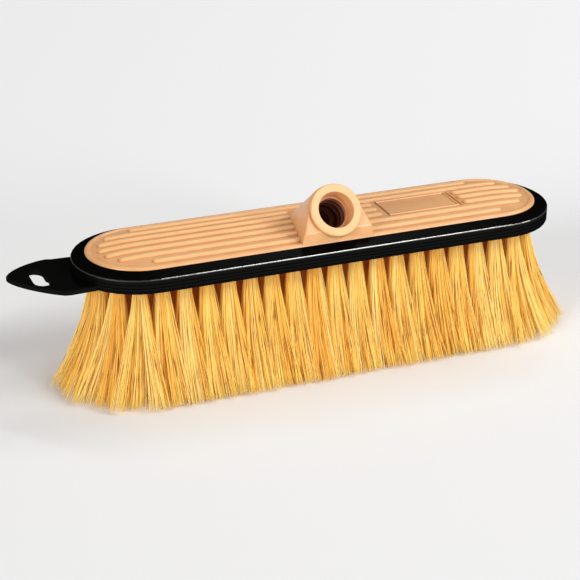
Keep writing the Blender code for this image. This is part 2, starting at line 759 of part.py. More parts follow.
def make_row(name, row, low_y, high_y, surface):
    """The tufts of one row between two y limits, fused to their slice of backing."""
    outline = backing_outline(row, low_y, high_y)
    backing = prism(outline, BLOCK_BOTTOM_Z, BLOCK_BOTTOM_Z + BACKING_THICKNESS)
    made = object_from(backing, name, surface)
    strands = []
    for number, (x, y, count) in enumerate(row_tufts(row)):
        if not low_y < y < high_y:
            continue
        first = number * TUFT_TURN + row * ROW_TURN
        for k in range(count):
            strands.append(strand_shape(x, y, first + math.tau * k / count))
    combine(made, "UNION", helper_from(join(strands), f"{name}_strands"))
    return made


def make_rows(surface):
    reach = 2 * BACKING_RADIUS
    rows = []
    for row in range(-END_ROW, END_ROW + 1):
        name = f"tuft_row_{row + END_ROW + 1:02d}"
        if row:
            rows.append(make_row(name, row, -reach, reach, surface))
        else:
            rows.append(make_row(f"{name}_front", row, -reach, -OUTLET_GAP_Y, surface))
            rows.append(make_row(f"{name}_back", row, OUTLET_GAP_Y, reach, surface))
    return rows


def highest_and_lowest_x(pieces):
    """The whole brush's ends along X, as it is evaluated."""
    graph = bpy.context.evaluated_depsgraph_get()
    xs = [corner[0] for piece in pieces for corner in piece.evaluated_get(graph).bound_box]
    return max(xs), min(xs)


def main():
    for old in list(bpy.data.objects):
        bpy.data.objects.remove(old, do_unlink=True)
    tan = material("tan_moulded_plastic", (0.82, 0.50, 0.26), 0.55)
    black = material("black_soft_vinyl", (0.012, 0.012, 0.011), 0.35)
    rubber = material("grey_rubber", (0.05, 0.05, 0.05), 0.8)
    gold = material("gold_bristle", (0.80, 0.47, 0.12), 0.5)
    pieces = [make_block(tan), make_washer(rubber), make_bumper(black)] + make_rows(gold)
    # The frame's origin lies under the middle of the brush's overall length
    bpy.context.view_layer.update()
    high, low = highest_and_lowest_x(pieces)
    frame = bpy.data.objects.new("brush_frame", None)
    bpy.context.scene.collection.objects.link(frame)
    frame.location.x = -(high + low) / 2
    for other in list(bpy.data.objects):
        if other is not frame:
            other.parent = frame


main()
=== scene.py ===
"""Looks of the water-fed wash brush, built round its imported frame. Units are metres, +Z up."""

import math

import bmesh
import bpy
import numpy as np
from mathutils import Matrix, Vector


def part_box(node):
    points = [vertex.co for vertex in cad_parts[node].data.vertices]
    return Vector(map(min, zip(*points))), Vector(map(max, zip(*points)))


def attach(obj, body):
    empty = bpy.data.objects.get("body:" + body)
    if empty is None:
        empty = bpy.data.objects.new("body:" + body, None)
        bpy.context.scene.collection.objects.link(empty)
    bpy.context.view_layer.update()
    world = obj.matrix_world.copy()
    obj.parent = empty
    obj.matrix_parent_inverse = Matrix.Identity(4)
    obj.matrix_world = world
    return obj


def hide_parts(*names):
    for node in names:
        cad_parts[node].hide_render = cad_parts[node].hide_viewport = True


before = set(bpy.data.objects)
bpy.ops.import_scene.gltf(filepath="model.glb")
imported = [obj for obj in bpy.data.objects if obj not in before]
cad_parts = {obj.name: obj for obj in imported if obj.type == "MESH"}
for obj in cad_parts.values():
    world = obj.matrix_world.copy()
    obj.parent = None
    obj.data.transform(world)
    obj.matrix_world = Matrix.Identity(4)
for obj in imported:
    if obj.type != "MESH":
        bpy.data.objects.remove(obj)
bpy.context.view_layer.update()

# The brush's middle, and levels that the CAD sets
BLOCK_LOW, BLOCK_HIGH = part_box("block")
BUMPER_LOW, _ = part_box("bumper")
MIDDLE_X = (BLOCK_LOW[0] + BLOCK_HIGH[0]) / 2
TRIM_HEIGHT = BUMPER_LOW[2]
SPINE = 0.0945  # from the middle to the centre of each round end
AIM = Vector((MIDDLE_X, 0.0, TRIM_HEIGHT))  # what the camera and the softboxes are set round

# Camera
CAMERA_TURN = math.radians(21.532)
CAMERA_TILT = math.radians(24.286)
CAMERA_DISTANCE = 0.820
CAMERA_RIGHT = -0.0143  # shift along the picture, away from a straight aim at the brush
CAMERA_UP = -0.02537
CAMERA_FOCUS_SHARE = 1593.7 / 580  # focal length over the picture's width
CAMERA_CLIP = (0.05, 20.0)  # the nearest and the farthest that it sees
SENSOR = 36.0  # millimetres

# Studio
FLOOR_HALF_SIZE = 3.0
FLOOR_GAP = 0.0002

# Bristles
TUFT_PITCH = 0.01135
TUFT_EDGE_RADIUS = 0.0225
LAST_STRAIGHT_ROW = 8
END_ROW = LAST_STRAIGHT_ROW + 2
MIDDLE_TUFT_Y = 0.01125
INNER_TUFT_Y = 0.0075
ROOT_RADIUS = 0.0026
ROOT_INSET = 0.0008  # how far inside the block a filament starts
TIP_SPREAD_ALONG = 0.0085  # half of a tuft's width at its tips, along the brush's outline
TIP_SPREAD_ACROSS = 0.0060  # and square to the outline
FLARE = 0.0178
FLARE_RADIUS = 0.0285  # where the outermost filaments would end without any splay
FLARE_BEND = 1.9  # how late on its way a filament splays
FLARE_POWER = 2.0
FLARE_LIMIT = 0.0460  # few filaments end farther than this from the line between the end centres
FLARE_LIMIT_GIVE = 0.15  # the share of what is past the limit that stays
FLARE_LIMIT_ENDS = 0.0026  # how much farther they reach at the ends
TAB_END_AHEAD = 0.0018  # how much farther tips reach straight ahead at the tab's end
TAB_END_BACK = 0.020  # how fast they fall short towards the back there
TAB_END_BACK_MOST = 0.0060
TIP_LIFT = 0.0014  # how much higher the outermost tips end
TIP_LIFT_MOST = 1.3  # share of the full splay past which tips end no higher
TIP_UNEVEN = 0.0006  # spread of how much shorter filaments end
EDGE_FILAMENTS = 430
INNER_FILAMENTS = 170
FILAMENT_RADIUS = 0.00017
FILAMENT_TAPER = 0.15  # share of the radius that is lost at the tip
STATIONS = 10
STATION_SHARES = np.linspace(0.0, 1.0, STATIONS)  # places along a filament, as shares of its length
SIDES = 3
SIDE_TURN = 2.399  # from one filament's sides to the next one's, in radians
GOLDEN_ANGLE = math.pi * (3 - math.sqrt(5))
ROOT_JITTER_SHARE = 0.035
TIP_JITTER_SHARE = 0.05
WISPS = 26  # bundles that a tuft's tips gather into
WISP_PULL = 0.52  # the most that a tip is drawn to its wisp's middle, as a share of the way
WISP_LEAN = 0.0004
SWAY = 0.0004
WAVE = 0.00010
WAVE_START_SHARE = 0.05
NEAR = 0.001  # tufts less than this apart count as in one place
TINY = 1e-9  # keeps a division clear of zero
SEED = 11
TINT = 0.56
TINT_RANGE = (0.2, 1.0)
WISP_TINT_SPREAD = 0.22
TINT_SPREAD = 0.13
SLIT_SHADE_SHARE = 0.42  # filaments that have a short stretch of painted shade, for the dark gaps where others part round them
SLIT_SHADE_SPAN = 0.16  # half of such a stretch, as a share of the length
SLIT_SHADE_PLACES = (0.35, 1.05)  # range of its middle, as a share of the length
SLIT_SHADE_EDGE = 1.5  # how sharply it ends
SHADE_DOWN_SHARE = 0.80  # how far down a filament its painted shade reaches
SHADE_EDGE = 1.4  # how sharply that painted shade ends
SHADE_START = 0.25  # where it starts across an outer tuft, as a share of the radius
ROOT_SHADE = 0.42  # the least painted shade at the roots, standing for the bumper's shade
ROOT_SHADE_SHARE = 0.26

# Block, as the CAD has it, with finer ribs and boss
BLOCK_RADIUS = 0.0275
BLOCK_BOTTOM_Z = BLOCK_LOW[2]
BLOCK_EDGE_Z = TRIM_HEIGHT + 0.0098
BLOCK_FLOOR_Z = TRIM_HEIGHT + 0.0109
BLOCK_CROWN = 0.0015
TONGUE_REACH = 0.0026
TONGUE_LOW_Z = TRIM_HEIGHT + 0.0027
TONGUE_HIGH_Z = TRIM_HEIGHT + 0.0063
RIM_WIDTH = 0.0035
RIM_RISE = 0.0005
RIM_STEPS = 14
RIM_TURN_SHARE = 0.86  # of the half turn over the rim, from its outer side to the floor
CROWN_STEPS = 11
CROWN_STEPS_TO_MIDDLE = 12.01
RIB_COUNT = 7
RIB_PITCH = 0.0069
RIB_WIDTH = 0.0042
RIB_HEIGHT = 0.0013
RIB_ROUNDNESS = 0.80  # power of the half round: less is fuller
RIB_END_ROUNDNESS = 0.7
RIB_SIDE_STEPS = 16
RIB_END_ANGLES = range(84, -1, -12)  # degrees
RIB_STATION = 0.006
RIB_END_RADIUS = 0.0218
RIB_SHOULDER = 0.0021
RIB_SINK = 0.0006
RIB_UNDER_BOSS_X = 0.0110
PANEL_START = 0.0330
PANEL_END = 0.0795
FRAME_START = 0.0365
FRAME_END = 0.0758
FRAME_HALF_WIDTH = 0.0094
FRAME_BAR_START = 0.0776
FRAME_LINE = 0.0010
FRAME_RISE = 0.0007
FRAME_SIDE_STEPS = 12
MITRE_LEAST = 0.5  # keeps the mitre of a sharp corner short
FRAME_SECTION_SHARES = ((-1, -1), (-1, 0.2), (-0.6, 0.8), (0, 1), (0.6, 0.8), (1, 0.2), (1, -1))
SOCKET_TILT = math.radians(34.0)
SOCKET_AXIS = Vector((0.0, -math.cos(SOCKET_TILT), math.sin(SOCKET_TILT)))
UP_SLOPE = Vector((0.0, math.sin(SOCKET_TILT), math.cos(SOCKET_TILT)))
SOCKET_FACE = Vector((0.0, -0.0237, TRIM_HEIGHT + 0.0258))
RING_RADIUS = 0.0134
RING_PROUD = 0.0022
RING_EDGE = 0.0007
RING_LENGTH = 0.0060  # of the collar, most of it inside the boss
COLLAR_HIGHLIGHT = 0.42  # how much painted highlight the collar gets, against 1 for the ribs' tops
MOUTH_RADIUS = 0.0092
MOUTH_DEPTH = 0.0078
MOUTH_LIP = 0.0004
MOUTH_STEP = 0.0001  # drop of the ledge between mouth and thread
BORE_RADIUS = 0.0078
THREAD_ROOT_RADIUS = 0.0091
THREAD_PITCH = 0.00508
THREAD_START = 0.0006  # below the mouth's ledge
THREAD_FADE = 0.001  # over which the thread gets its full depth
THREAD_CREST_SHARE = 0.14
THREAD_FLANK_SHARE = 0.5
THREAD_STEPS = 18  # rings in one pitch
THREAD_SHIFT = 0.00002  # keeps the thread's first ring clear of its start
SOCKET_DEPTH = 0.0255
WATERWAY_RADIUS = 0.0040
WATERWAY_OVERLAP = 0.001  # with the socket's space
WATERWAY_PAST = 0.0032  # how far it runs past the outlet's middle
CUT_OVERRUN = 0.003
BOSS_BASE_HALF_WIDTH = 0.0200
BOSS_CREASE_HALF_WIDTH = 0.0183
BOSS_FACE_RADIUS = 0.0138
BOSS_BACK_RADIUS = 0.0143
BOSS_BACK_Y = 0.0060
BOSS_FRONT_GAP = 0.0002  # boss front behind the block's side
BOSS_SINK = 0.0010
BOSS_EDGE = 0.0010
FLAT_ANGLE = math.radians(0.5)  # faces that meet at less than this are one
SHARP_ANGLE = math.radians(32.0)
BOSS_EDGE_ANGLE = math.radians(20.0)  # the boss's edges that turn more than this are rounded
EDGE_SEGMENTS = 3  # faces across a rounded edge
TOUCH = 0.0001  # a point this near to a face lies on it
END_STEPS = 48
ROUND_STEPS = 96
WATERWAY_STEPS = 48
LIP_STEPS = 4
RING_EDGE_STEPS = 5

# Surfaces
CREASE_SHADE_REACH = 0.0016  # how far out of a crease the painted shade reaches
WASHER_NEAR = 0.003  # height above the washer where the thread's colour starts to turn to the washer's
WASHER_EDGE = 0.0005  # and where it has turned
TAN_GRAIN = 0.000025  # heights of the fine grain
VINYL_GRAIN = 0.00004
RUBBER_GRAIN = 0.00005

# Bumper
BUMPER_EDGE = 0.00035
WALL_GLOSS_HEIGHTS = (0.0055, 0.0066)  # above its underside, where the dull wall turns glossy


def camera_axes():
    """Right, up and backward directions of the photograph's camera."""
    turn_cos, turn_sin = math.cos(CAMERA_TURN), math.sin(CAMERA_TURN)
    tilt_cos, tilt_sin = math.cos(CAMERA_TILT), math.sin(CAMERA_TILT)
    right = Vector((turn_cos, -turn_sin, 0.0))
    up = Vector((turn_sin * tilt_sin, turn_cos * tilt_sin, tilt_cos))
    back = Vector((-turn_sin * tilt_cos, -turn_cos * tilt_cos, tilt_sin))
    return right, up, back


def add_object(name, data):
    """An object for a mesh, a light or a camera, linked into the scene."""
    made = bpy.data.objects.new(name, data)
    bpy.context.scene.collection.objects.link(made)
    return made


def make_camera():
    right, up, back = camera_axes()
    data = bpy.data.cameras.new("camera")
    data.sensor_width = SENSOR
    data.lens = CAMERA_FOCUS_SHARE * SENSOR
    data.clip_start, data.clip_end = CAMERA_CLIP
    camera = add_object("camera", data)
    turn = Matrix((right, up, back)).transposed().to_4x4()
    place = AIM + CAMERA_RIGHT * right + CAMERA_UP * up + CAMERA_DISTANCE * back
    camera.matrix_world = Matrix.Translation(place) @ turn
    bpy.context.scene.camera = camera


def add_light(name, kind, towards, power):
    """A light that shines from the direction given."""
    data = bpy.data.lights.new(name, kind)
    data.energy = power
    light = add_object(name, data)
    light.rotation_mode = "QUATERNION"
    light.rotation_quaternion = Vector(towards).to_track_quat("Z", "Y")
    return light


def sun(name, towards, strength, angle):
    """A distant light, as wide as its angle in degrees."""
    light = add_light(name, "SUN", towards, strength)
    light.data.angle = math.radians(angle)


def strip(name, towards, distance, length, width, power):
    """A long, narrow softbox that lies along X and faces the brush."""
    light = add_light(name, "AREA", towards, power)
    light.location = AIM + Vector(towards).normalized() * distance
    light.data.shape = "RECTANGLE"
    light.data.size = length
    light.data.size_y = width


def make_lights():
    world = bpy.data.worlds.new("studio")
    bpy.context.scene.world = world
    world.use_nodes = True
    bpy.context.scene.view_settings.view_transform = "Standard"
    background = world.node_tree.nodes["Background"]
    background.inputs["Color"].default_value = (1.0, 1.0, 1.0, 1.0)
    background.inputs["Strength"].default_value = 0.24
    strip("key", (0.50, -0.58, 0.72), distance=3.0, length=2.4, width=0.26, power=27.0)
    strip("ridge", (0.45, 0.36, 0.82), distance=3.0, length=2.4, width=0.20, power=20.0)
    sun("front", (0.42, -0.88, 0.22), strength=0.96, angle=12.0)
    sun("left", (-0.84, -0.46, 0.30), strength=1.72, angle=25.0)
    sun("right", (0.74, -0.34, 0.58), strength=0.66, angle=22.0)


def make_floor():
    size = FLOOR_HALF_SIZE
    mesh = bpy.data.meshes.new("floor")
    corners = [(-size, -size, 0.0), (size, -size, 0.0), (size, size, 0.0), (-size, size, 0.0)]
    mesh.from_pydata(corners, [], [(0, 1, 2, 3)])
    floor = add_object("floor", mesh)
    floor.location.z = -FLOOR_GAP
    surface, _ = principled("floor_paper", (0.93, 0.93, 0.93), 0.9)
    mesh.materials.append(surface)


def principled(name, colour, roughness):
    """A new material of one colour and roughness, and its shader."""
    surface = bpy.data.materials.new(name)
    surface.use_nodes = True
    shader = surface.node_tree.nodes["Principled BSDF"]
    shader.inputs["Base Color"].default_value = (*colour, 1.0)
    shader.inputs["Roughness"].default_value = roughness
    return surface, shader


class Nodes:
    """A short way to add linked nodes to a material."""

    def __init__(self, surface):
        self.tree = surface.node_tree

    def add(self, kind, settings=None, **sockets):
        node = self.tree.nodes.new(kind)
        for key, value in (settings or {}).items():
            setattr(node, key, value)
        for key, value in sockets.items():
            self.feed(node.inputs[key], value)
        return node

    def feed(self, socket, value):
        if hasattr(value, "is_output"):
            self.tree.links.new(value, socket)
        else:
            socket.default_value = value

    def attribute(self, name):
        return self.add("ShaderNodeAttribute", {"attribute_name": name}).outputs["Fac"]

    def upward(self, vector):
        """The Z part of a vector."""
        return self.add("ShaderNodeSeparateXYZ", Vector=vector).outputs["Z"]

    def noise(self, scale, detail=3.0):
        place = self.add("ShaderNodeTexCoord").outputs["Object"]
        node = self.add("ShaderNodeTexNoise", Vector=place, Scale=scale, Detail=detail)
        return node.outputs["Fac"]

    def ramp(self, value, stops):
        node = self.add("ShaderNodeValToRGB", Fac=value)
        elements = node.color_ramp.elements
        while len(elements) < len(stops):
            elements.new(0.5)
        for element, (place, colour) in zip(elements, stops):
            element.position = place
            element.color = (*colour, 1.0)
        return node.outputs["Color"]

    def mix(self, share, one, other):
        node = self.add("ShaderNodeMix", {"data_type": "RGBA"})
        # The node has sockets of each name for every kind of value, so colours go by number
        self.feed(node.inputs[0], share)
        self.feed(node.inputs[6], one)
        self.feed(node.inputs[7], (*other, 1.0) if isinstance(other, tuple) else other)
        return node.outputs[2]

    def span(self, value, low, high, to_low, to_high):
        node = self.add("ShaderNodeMapRange", Value=value)
        node.inputs["From Min"].default_value = low
        node.inputs["From Max"].default_value = high
        node.inputs["To Min"].default_value = to_low
        node.inputs["To Max"].default_value = to_high
        return node.outputs["Result"]

    def bump(self, height, distance):
        node = self.add("ShaderNodeBump", Height=height, Strength=1.0, Distance=distance)
        return node.outputs["Normal"]


def tan_plastic():
    surface, shader = principled("tan_moulded_plastic", (0.78, 0.44, 0.205), 0.5)
    nodes = Nodes(surface)
    shader.inputs["Specular IOR Level"].default_value = 0.50
    mottle = nodes.noise(120.0, 5.0)
    colour = nodes.ramp(
        mottle,
        [
            (0.30, (0.77, 0.370, 0.146)),
            (0.52, (0.80, 0.405, 0.165)),
            (0.72, (0.83, 0.440, 0.188)),
        ],
    )
    # Painted highlight: the tops of the ribs, the rim and the collar are painted paler than the rest
    crest = nodes.span(nodes.attribute("crest"), 0.0, 1.0, 0.0, 0.80)
    colour = nodes.mix(crest, colour, (0.90, 0.545, 0.225))
    # Painted shade darkens the creases
    settings = {"samples": 8, "only_local": True}
    crease = nodes.add("ShaderNodeAmbientOcclusion", settings, Distance=CREASE_SHADE_REACH)
    crease_shade = nodes.span(crease.outputs["AO"], 0.45, 0.92, 0.62, 0.0)
    colour = nodes.mix(crease_shade, colour, (0.42, 0.17, 0.06))
    # Painted shade: deep in the socket the moulded thread is painted dark, lighter on its crests as a
    # painted highlight and darkest in its roots
    depth = nodes.attribute("socket_depth")
    bore_shade_mask = nodes.span(depth, MOUTH_DEPTH + MOUTH_STEP, MOUTH_DEPTH + THREAD_START, 0.0, 1.0)
    bore_shade = nodes.ramp(
        nodes.attribute("thread_root"),
        [
            (0.0, (0.52, 0.26, 0.18)),
            (0.35, (0.21, 0.068, 0.038)),
            (1.0, (0.11, 0.030, 0.016)),
        ],
    )
    below = nodes.span(depth, SOCKET_DEPTH - WASHER_NEAR, SOCKET_DEPTH - WASHER_EDGE, 0.0, 1.0)
    bore_shade = nodes.mix(below, bore_shade, (0.19, 0.065, 0.042))
    nodes.feed(shader.inputs["Base Color"], nodes.mix(bore_shade_mask, colour, bore_shade))
    nodes.feed(shader.inputs["Roughness"], nodes.span(nodes.noise(900.0), 0.3, 0.7, 0.28, 0.33))
    nodes.feed(shader.inputs["Normal"], nodes.bump(nodes.noise(1800.0, 4.0), TAN_GRAIN))
    return surface


def black_vinyl():
    surface, shader = principled("black_soft_vinyl", (0.0020, 0.0019, 0.0017), 0.6)
    shader.inputs["Specular IOR Level"].default_value = 0.0
    nodes = Nodes(surface)
    geometry = nodes.add("ShaderNodeNewGeometry")
    facing = nodes.upward(geometry.outputs["Normal"])
    gloss = nodes.add("ShaderNodeBsdfGlossy")
    grain = nodes.bump(nodes.noise(900.0, 4.0), VINYL_GRAIN)
    nodes.feed(gloss.inputs["Roughness"], nodes.span(facing, 0.1, 0.6, 0.42, 0.16))
    # The rounded edge shines, and the wall and the flat top hardly do
    wall, edge, flat = (0.0065, 0.0065, 0.0065), (0.165, 0.160, 0.150), (0.0012, 0.0012, 0.0012)
    stops = [(0.0, wall), (0.15, wall), (0.35, edge), (0.66, edge), (0.78, flat), (1.0, flat)]
    low, high = (TRIM_HEIGHT + height for height in WALL_GLOSS_HEIGHTS)
    below = nodes.span(nodes.upward(geometry.outputs["Position"]), low, high, 1.0, 0.0)
    nodes.feed(gloss.inputs["Color"], nodes.mix(below, nodes.ramp(facing, stops), (0.006, 0.006, 0.006)))
    nodes.feed(gloss.inputs["Normal"], grain)
    both = nodes.add("ShaderNodeAddShader")
    nodes.feed(both.inputs[0], shader.outputs[0])
    nodes.feed(both.inputs[1], gloss.outputs[0])
    output = surface.node_tree.nodes["Material Output"]
    nodes.feed(output.inputs["Surface"], both.outputs[0])
    return surface


def rubber():
    surface, shader = principled("dark_rubber", (0.24, 0.090, 0.065), 0.8)
    shader.inputs["Specular IOR Level"].default_value = 0.1
    nodes = Nodes(surface)
    nodes.feed(shader.inputs["Normal"], nodes.bump(nodes.noise(1500.0, 4.0), RUBBER_GRAIN))
    return surface


def golden_bristle():
    surface, shader = principled("golden_bristle", (0.85, 0.52, 0.14), 0.45)
    nodes = Nodes(surface)
    tint = nodes.attribute("tint")
    # The lowest tint is the painted shade of the dark stretches
    colour = nodes.ramp(
        tint,
        [
            (0.0, (0.24, 0.075, 0.012)),
            (0.2, (0.97, 0.52, 0.085)),
            (0.5, (1.0, 0.73, 0.180)),
            (1.0, (1.0, 0.86, 0.38)),
        ],
    )
    # Painted shade: filaments near the block and behind the outer ones are mixed towards a dark colour
    painted_shade = nodes.attribute("painted_shade")
    nodes.feed(shader.inputs["Base Color"], nodes.mix(painted_shade, colour, (0.56, 0.17, 0.026)))
    shader.inputs["Specular IOR Level"].default_value = 0.15
    # Painted glow: emission stands in for light that the clear filaments pass on to each other
    painted_glow = nodes.ramp(
        tint,
        [
            (0.0, (0.20, 0.045, 0.006)),
            (0.2, (1.0, 0.46, 0.06)),
            (1.0, (1.0, 0.56, 0.11)),
        ],
    )
    nodes.feed(shader.inputs["Emission Color"], nodes.mix(painted_shade, painted_glow, (0.40, 0.100, 0.020)))
    shader.inputs["Emission Strength"].default_value = 0.12
    return surface


def edge_tuft_angles():
    """Places round an end, as angles from the crosswise direction, at about the tuft pitch."""
    along = SPINE - LAST_STRAIGHT_ROW * TUFT_PITCH
    length = math.pi * TUFT_EDGE_RADIUS + 2 * along
    count = round(length / TUFT_PITCH)
    return [(length * step / count - along) / TUFT_EDGE_RADIUS for step in range(1, count)]


def row_tufts(row):
    """(x, y, filaments) of each tuft in a crosswise row, numbered from the middle."""
    side = 1 if row > 0 else -1
    number = abs(row)
    if number <= LAST_STRAIGHT_ROW:
        x = row * TUFT_PITCH
        places = [(x, y, EDGE_FILAMENTS) for y in (-TUFT_EDGE_RADIUS, TUFT_EDGE_RADIUS)]
        if number % 2:
            inner = (-INNER_TUFT_Y, INNER_TUFT_Y)
        elif number:
            inner = (-MIDDLE_TUFT_Y, 0.0, MIDDLE_TUFT_Y)
        else:
            inner = (-MIDDLE_TUFT_Y, MIDDLE_TUFT_Y)
        return places + [(x, y, INNER_FILAMENTS) for y in inner]
    # The tufts round an end are shared out between its last two rows
    split = (LAST_STRAIGHT_ROW + 1.5) * TUFT_PITCH
    places = []
    for angle in edge_tuft_angles():
        x = SPINE + TUFT_EDGE_RADIUS * math.sin(angle)
        y = -TUFT_EDGE_RADIUS * math.cos(angle)
        if (x > split) == (number == END_ROW):
            places.append((side * x, y, EDGE_FILAMENTS))
    if number < END_ROW:
        places += [(row * TUFT_PITCH, y, INNER_FILAMENTS) for y in (-INNER_TUFT_Y, INNER_TUFT_Y)]
    return places


def splay(points):
    """Where tips stand once the outer ones are splayed, and the share of the full splay."""
    spine = np.stack([np.clip(points[:, 0], -SPINE, SPINE), np.zeros(len(points))], axis=1)
    away = points - spine
    distance = np.linalg.norm(away, axis=1, keepdims=True) + TINY
    share = (distance / FLARE_RADIUS) ** FLARE_POWER
    # At the tab's end the brush is pushed out more straight ahead, and less at the back
    ahead = np.maximum(-away[:, :1] / distance, 0.0)
    aback = np.minimum(TAB_END_BACK * ahead * np.maximum(away[:, 1:] / distance, 0.0), TAB_END_BACK_MOST)
    shift = TAB_END_AHEAD * ahead**4 - aback
    reach = distance + (FLARE + shift) * share
    limit = FLARE_LIMIT + FLARE_LIMIT_ENDS * np.abs(away[:, :1]) / distance + shift
    reach = np.minimum(reach, limit + FLARE_LIMIT_GIVE * (reach - limit))
    return spine + away * reach / distance, share[:, 0]


def tuft_disc(count, rng):
    """Places of a tuft's filaments in its round root, as shares of the root's radius."""
    radius = np.sqrt((np.arange(count) + 0.5) / count)
    angle = np.arange(count) * GOLDEN_ANGLE + rng.uniform(0, math.tau)
    disc = np.stack([radius * np.cos(angle), radius * np.sin(angle)], axis=1)
    return disc + rng.normal(0.0, ROOT_JITTER_SHARE, disc.shape)


def tuft_square(disc, rng):
    """Places of the tips, as shares of the spread there, and the number of each one's wisp."""
    # A round bundle at the root spreads into a nearly square one at its tips
    square = disc / (np.abs(disc).max(axis=1) / np.linalg.norm(disc, axis=1))[:, None]
    centres = square[rng.choice(len(disc), WISPS, replace=False)]
    wisp = np.argmin(((square[:, None] - centres[None]) ** 2).sum(axis=2), axis=1)
    pull = rng.uniform(0.0, WISP_PULL, (len(disc), 1))
    wanted = square + (centres[wisp] - square) * pull
    return wanted + rng.normal(0.0, TIP_JITTER_SHARE, square.shape), wisp


def filament_paths(start, reach, rng):
    """Centre lines from the roots to the tips, straight at first and splayed late on their way."""
    count = len(start)
    share = STATION_SHARES[None, :, None]
    end, splayed = splay(reach)
    path = np.empty((count, STATIONS, 3))
    path[:, :, :2] = start[:, None] + (reach - start)[:, None] * share
    path[:, :, :2] += (end - reach)[:, None] * share**FLARE_BEND
    sway = rng.normal(0.0, SWAY, (count, 1, 2)) * np.sin(math.pi * share)
    wave = rng.normal(0.0, WAVE, (count, STATIONS, 2)) * (share > WAVE_START_SHARE)
    path[:, :, :2] += sway + wave
    short = np.abs(rng.normal(0.0, TIP_UNEVEN, count))
    tip_z = short + TIP_LIFT * np.clip(splayed, 0.0, TIP_LIFT_MOST) ** 2
    root_z = BLOCK_BOTTOM_Z + ROOT_INSET
    path[:, :, 2] = root_z + (tip_z - root_z)[:, None] * STATION_SHARES[None]
    return path


def filament_colours(disc, wisp, inner, rng):
    """The tint and the share of painted shade along each filament of an inner or outer tuft."""
    count = len(disc)
    share = STATION_SHARES[None]
    wisp_tint = rng.uniform(-WISP_TINT_SPREAD, WISP_TINT_SPREAD, WISPS)
    tint = np.clip(TINT + wisp_tint[wisp] + rng.normal(0.0, TINT_SPREAD, count), *TINT_RANGE)
    # Some filaments get a short stretch of painted shade, for the dark gaps between strands
    near = 1.0 - np.abs(share - rng.uniform(*SLIT_SHADE_PLACES, (count, 1))) / SLIT_SHADE_SPAN
    slit_shade = np.clip(SLIT_SHADE_EDGE * near, 0.0, 1.0) * (rng.random((count, 1)) < SLIT_SHADE_SHARE)
    # Painted shade darkens the colour near the block, most in what stands behind the outermost filaments
    shade_behind = 1.0 if inner else np.clip(SHADE_START - disc[:, 1], 0.0, 1.0)[:, None]
    painted_shade = shade_behind * np.clip(SHADE_EDGE - SHADE_EDGE * share / SHADE_DOWN_SHARE, 0.0, 1.0)
    painted_shade = np.maximum(painted_shade, ROOT_SHADE * np.clip(1.0 - share / ROOT_SHADE_SHARE, 0.0, 1.0))
    return tint[:, None] * (1.0 - slit_shade), np.broadcast_to(painted_shade, (count, STATIONS))


def filaments_of(x, y, count, rng):
    """A tuft's filaments: their centre lines, and the tint and share of painted shade along them."""
    base = np.array([[x, y]])
    outward = np.array([x - min(max(x, -SPINE), SPINE), y])
    length = np.linalg.norm(outward)
    outward = outward / length if length > NEAR else np.array([0.0, 1.0])
    along = np.array([-outward[1], outward[0]])
    disc = tuft_disc(count, rng)
    wanted, wisp = tuft_square(disc, rng)
    lean = rng.normal(0.0, WISP_LEAN, (WISPS, 2))
    start = base + ROOT_RADIUS * (disc[:, :1] * along + disc[:, 1:] * outward)
    reach = base + TIP_SPREAD_ALONG * wanted[:, :1] * along
    reach += TIP_SPREAD_ACROSS * wanted[:, 1:] * outward + lean[wisp]
    path = filament_paths(start, reach, rng)
    return path, *filament_colours(disc, wisp, length < TUFT_EDGE_RADIUS - NEAR, rng)


def tube_faces(count):
    """Point numbers of the sides, and of the upper and lower caps, of many equal tubes."""
    corner = np.arange(SIDES)
    after = (corner + 1) % SIDES
    low = np.arange(STATIONS - 1)[:, None] * SIDES
    quad = np.stack([low + corner, low + after, low + SIDES + after, low + SIDES + corner], axis=2)
    quad = quad.reshape(-1, 4)
    offset = (np.arange(count) * STATIONS * SIDES)[:, None, None]
    # The tube runs downwards, so its sides turn the other way round
    quads = (quad[None, :, ::-1] + offset).reshape(-1, 4)
    top = (corner[None] + offset[:, 0]).reshape(-1, SIDES)
    tip = (corner[::-1][None] + offset[:, 0] + (STATIONS - 1) * SIDES).reshape(-1, SIDES)
    return quads, top, tip


def mark(mesh, name, values):
    """Keeps a number at each point of a mesh, for its material."""
    mesh.attributes.new(name, "FLOAT", "POINT").data.foreach_set("value", values)


